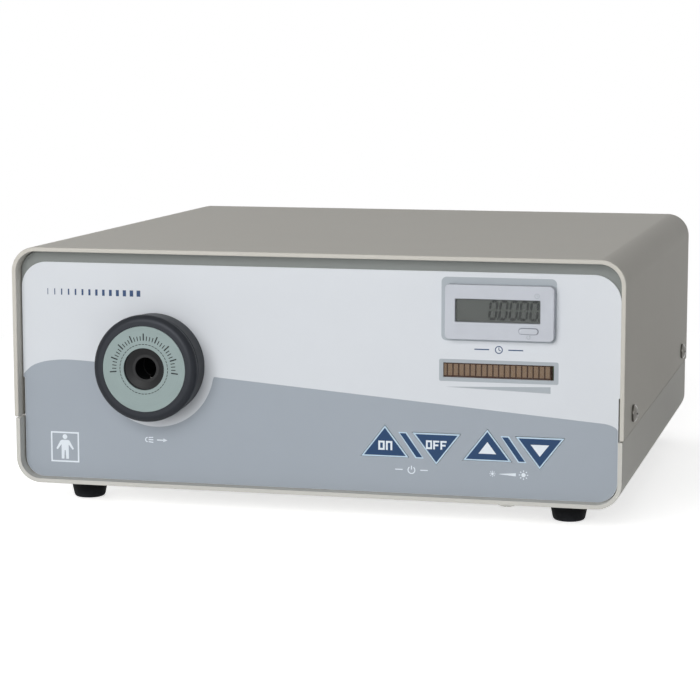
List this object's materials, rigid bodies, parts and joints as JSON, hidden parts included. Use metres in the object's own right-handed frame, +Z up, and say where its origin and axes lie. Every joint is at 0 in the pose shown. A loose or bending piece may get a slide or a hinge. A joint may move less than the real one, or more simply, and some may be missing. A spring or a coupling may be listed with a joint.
{
  "type": "endoscope light source",
  "caption": "Desktop cold light source for an endoscope: recessed front with light-guide socket, hour counter, bar graph and arrow keys; fan and mains inlet at the rear.",
  "frame": {"origin": "on the ground under the middle of the whole object's box", "axes": "+X to the right as the user sees the front, +Y to the rear, +Z up"},
  "size_m": [0.2852, 0.287, 0.1185],
  "materials": {
    "cover_paint": "satin",
    "chassis_paint": "satin",
    "panel_paint": "satin",
    "overlay_film": "satin film",
    "key_film": "satin film",
    "zinc_steel": "zinc plated",
    "black_rubber": "matt",
    "board_green": "solder mask",
    "black_plastic": "fine grain",
    "inlet_plastic": "satin",
    "amber_window": "tinted",
    "array_plastic": "matt",
    "segment_plastic": "diffusing",
    "counter_plastic": "satin",
    "clear_window": "clear",
    "display_grey": "matt",
    "black_anodised": "black anodised",
    "ring_anodised": "matt anodised",
    "spring_steel": "drawn",
    "ball_steel": "polished",
    "lens_glass": "clear",
    "bare_aluminium": "milled",
    "emitter_phosphor": "silicone",
    "core_iron": "varnished",
    "capacitor_sleeve": "shrink sleeve",
    "plated_brass": "nickel plated",
    "wire_insulation": "soft",
    "guard_wire": "plated",
    "fuse_ceramic": "glazed"
  },
  "bodies": {
    "housing": {"top_cover": "cover_paint", "base_chassis": "chassis_paint", "cover_screws": "zinc_steel", "rubber_feet": "black_rubber", "foot_screws": "zinc_steel", "front_panel": "panel_paint", "front_overlay": "overlay_film", "flange_bolt": "zinc_steel", "panel_screws": "zinc_steel", "control_board": "board_green", "key_switches": "black_plastic", "control_board_screws": "zinc_steel", "bar_graph_window": "amber_window", "bar_graph_housing": "array_plastic", "bar_graph_segments": "segment_plastic", "counter_case": "counter_plastic", "counter_window": "clear_window", "counter_display": "display_grey", "counter_grip": "black_plastic", "socket_collar": "black_anodised", "ring_plate": "ring_anodised", "guide_sleeve": "black_plastic", "sleeve_nut": "zinc_steel", "collar_screws": "zinc_steel", "detent_screw": "spring_steel", "lens_tube": "black_anodised", "relay_lens": "lens_glass", "lens_spacer": "black_anodised", "condenser_lens": "lens_glass", "lens_ring": "black_anodised", "optics_plate": "bare_aluminium", "led_board": "bare_aluminium", "led_emitter": "emitter_phosphor", "heat_sink": "bare_aluminium", "optics_screws": "zinc_steel", "driver_board": "board_green", "power_board": "board_green", "transformer": "core_iron", "capacitors": "capacitor_sleeve", "board_posts": "plated_brass", "board_screws": "zinc_steel", "internal_wiring": "wire_insulation", "rear_panel": "cover_paint", "fan_frame": "black_plastic", "fan_guard": "guard_wire", "fan_screws": "zinc_steel", "mains_inlet": "inlet_plastic", "inlet_pins": "plated_brass", "earth_terminal": "plated_brass"},
    "key_on": {"key_on": "key_film"},
    "key_off": {"key_off": "key_film"},
    "key_up": {"key_up": "key_film"},
    "key_down": {"key_down": "key_film"},
    "reset_button": {"reset_button": "counter_plastic"},
    "detent_ball": {"detent_ball": "ball_steel", "detent_spring": "spring_steel"},
    "fan_rotor": {"fan_rotor": "black_plastic"},
    "fuse_drawer": {"fuse_drawer": "inlet_plastic", "fuses": "fuse_ceramic"},
    "mains_rocker": {"mains_rocker": "inlet_plastic"}
  },
  "joints": [
    {"name": "key_on_press", "type": "slide", "parent": "housing", "child": "key_on", "axis": [0, 1, 0], "range_m": [0, 0.0004], "stiffness_N_per_m": 2000, "springref_m": -0.0003},
    {"name": "key_off_press", "type": "slide", "parent": "housing", "child": "key_off", "axis": [0, 1, 0], "range_m": [0, 0.0004], "stiffness_N_per_m": 2000, "springref_m": -0.0003},
    {"name": "key_up_press", "type": "slide", "parent": "housing", "child": "key_up", "axis": [0, 1, 0], "range_m": [0, 0.0004], "stiffness_N_per_m": 2000, "springref_m": -0.0003},
    {"name": "key_down_press", "type": "slide", "parent": "housing", "child": "key_down", "axis": [0, 1, 0], "range_m": [0, 0.0004], "stiffness_N_per_m": 2000, "springref_m": -0.0003},
    {"name": "reset_press", "type": "slide", "parent": "housing", "child": "reset_button", "axis": [0, 1, 0], "range_m": [0, 0.0008], "stiffness_N_per_m": 800, "springref_m": -0.0005},
    {"name": "detent_dip", "type": "slide", "parent": "housing", "child": "detent_ball", "axis": [0, 0, -1], "range_m": [0, 0.0008], "stiffness_N_per_m": 2000, "springref_m": -0.001, "deforming": ["detent_spring"]},
    {"name": "fan_spin", "type": "hinge", "parent": "housing", "child": "fan_rotor", "pos_m": [-0.0735, 0.115, 0.0659], "axis": [0, 1, 0], "continuous": true},
    {"name": "drawer_slide", "type": "slide", "parent": "housing", "child": "fuse_drawer", "axis": [0, 1, 0], "range_m": [0, 0.017]},
    {"name": "rocker_tilt", "type": "hinge", "parent": "housing", "child": "mains_rocker", "pos_m": [0.1018, 0.1275, 0.048], "axis": [1, 0, 0], "range_deg": [0, 22]}
  ]
}
